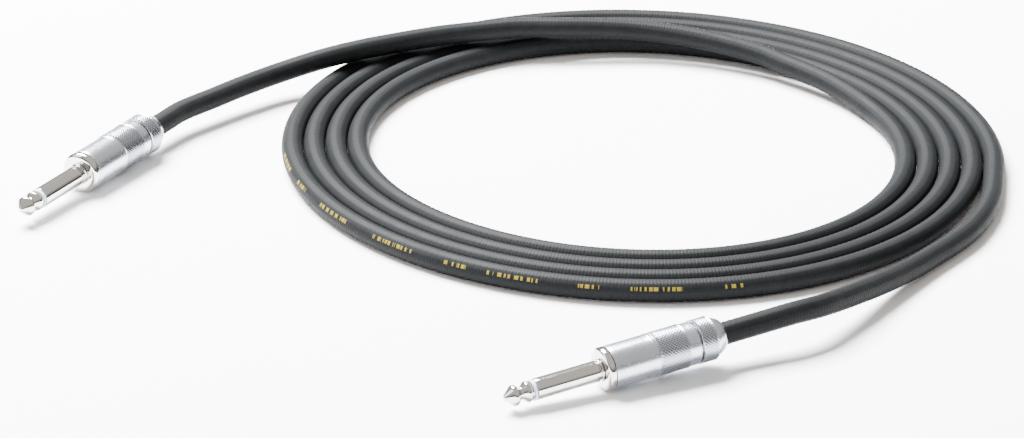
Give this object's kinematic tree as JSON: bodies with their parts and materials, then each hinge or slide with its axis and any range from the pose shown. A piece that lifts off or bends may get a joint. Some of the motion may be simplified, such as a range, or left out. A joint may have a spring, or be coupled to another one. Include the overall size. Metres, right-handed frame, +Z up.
{
  "type": "instrument cable",
  "caption": "Coiled round cable with a straight 6.35 mm mono phone plug at each end, each with a knurled barrel and a rear clamp nut.",
  "frame": {"origin": "on the surface that the cable lies on, below the middle of the box around the two plugs", "axes": "+Z up from that surface; +Y away from the front plug, plug_b, towards the coil's far side; +X to the right with plug_b in front"},
  "size_m": [0.307, 0.2978, 0.0154],
  "materials": {
    "nickel": "bright nickel plate",
    "satin_chrome": "satin nickel, knurled",
    "pale_plastic": "semi-gloss",
    "black_plastic": "matt",
    "copper": "bare copper",
    "cable_jacket": "matt flexible vinyl"
  },
  "bodies": {
    "cable_and_plugs": {"coil": "cable_jacket", "lead_a": "cable_jacket", "lead_b": "cable_jacket", "plug_a_tip_contact": "nickel", "plug_a_tip_insulator": "pale_plastic", "plug_a_sleeve_body": "nickel", "plug_a_ground_lug": "nickel", "plug_a_rear_washer": "pale_plastic", "plug_a_tip_lug": "nickel", "plug_a_core_insulation": "pale_plastic", "plug_a_core_wire": "copper", "plug_a_shield_pigtail": "copper", "plug_b_tip_contact": "nickel", "plug_b_tip_insulator": "pale_plastic", "plug_b_sleeve_body": "nickel", "plug_b_ground_lug": "nickel", "plug_b_rear_washer": "pale_plastic", "plug_b_tip_lug": "nickel", "plug_b_core_insulation": "pale_plastic", "plug_b_core_wire": "copper", "plug_b_shield_pigtail": "copper"},
    "plug_a_liner": {"plug_a_barrel_liner": "black_plastic"},
    "plug_a_collet": {"plug_a_collet": "black_plastic"},
    "plug_a_barrel": {"plug_a_barrel": "satin_chrome"},
    "plug_a_washer": {"plug_a_thrust_washer": "nickel"},
    "plug_a_nut": {"plug_a_clamp_nut": "satin_chrome"},
    "plug_b_liner": {"plug_b_barrel_liner": "black_plastic"},
    "plug_b_collet": {"plug_b_collet": "black_plastic"},
    "plug_b_barrel": {"plug_b_barrel": "satin_chrome"},
    "plug_b_washer": {"plug_b_thrust_washer": "nickel"},
    "plug_b_nut": {"plug_b_clamp_nut": "satin_chrome"}
  },
  "joints": [
    {"name": "plug_a_barrel_pull", "type": "slide", "parent": "cable_and_plugs", "child": "plug_a_liner", "axis": [0.5179, 0.8552, 0.0222], "range_m": [0, 0.0035]},
    {"name": "plug_a_barrel_thread", "type": "slide", "parent": "plug_a_liner", "child": "plug_a_collet", "axis": [0.5179, 0.8552, 0.0222], "range_m": [0, 0.0053]},
    {"name": "plug_a_barrel_turn", "type": "hinge", "parent": "plug_a_collet", "child": "plug_a_barrel", "pos_m": [-0.08094, 0.07465, 0.00682], "axis": [0.5179, 0.8552, 0.0222], "range_deg": [0, 2520]},
    {"name": "plug_a_nut_thread", "type": "slide", "parent": "plug_a_collet", "child": "plug_a_washer", "axis": [0.5179, 0.8552, 0.0222], "range_m": [0, 0.0031]},
    {"name": "plug_a_nut_turn", "type": "hinge", "parent": "plug_a_washer", "child": "plug_a_nut", "pos_m": [-0.07162, 0.09004, 0.00722], "axis": [0.5179, 0.8552, 0.0222], "range_deg": [0, 1440]},
    {"name": "plug_b_barrel_pull", "type": "slide", "parent": "cable_and_plugs", "child": "plug_b_liner", "axis": [0.8868, 0.4571, 0.068], "range_m": [0, 0.014]},
    {"name": "plug_b_barrel_thread", "type": "slide", "parent": "plug_b_liner", "child": "plug_b_collet", "axis": [0.8868, 0.4571, 0.068], "range_m": [0, 0.0053]},
    {"name": "plug_b_barrel_turn", "type": "hinge", "parent": "plug_b_collet", "child": "plug_b_barrel", "pos_m": [0.08507, -0.07286, 0.00753], "axis": [0.8868, 0.4571, 0.068], "range_deg": [0, 2520]},
    {"name": "plug_b_nut_thread", "type": "slide", "parent": "plug_b_collet", "child": "plug_b_washer", "axis": [0.8868, 0.4571, 0.068], "range_m": [0, 0.0031]},
    {"name": "plug_b_nut_turn", "type": "hinge", "parent": "plug_b_washer", "child": "plug_b_nut", "pos_m": [0.10103, -0.06463, 0.00876], "axis": [0.8868, 0.4571, 0.068], "range_deg": [0, 1440]}
  ],
  "couplings": [
    {"joint": "plug_a_barrel_thread", "follows": "plug_a_barrel_turn", "m_per_rad": 0.00011937},
    {"joint": "plug_a_nut_thread", "follows": "plug_a_nut_turn", "m_per_rad": 0.00011937},
    {"joint": "plug_b_barrel_thread", "follows": "plug_b_barrel_turn", "m_per_rad": 0.00011937},
    {"joint": "plug_b_nut_thread", "follows": "plug_b_nut_turn", "m_per_rad": 0.00011937}
  ]
}
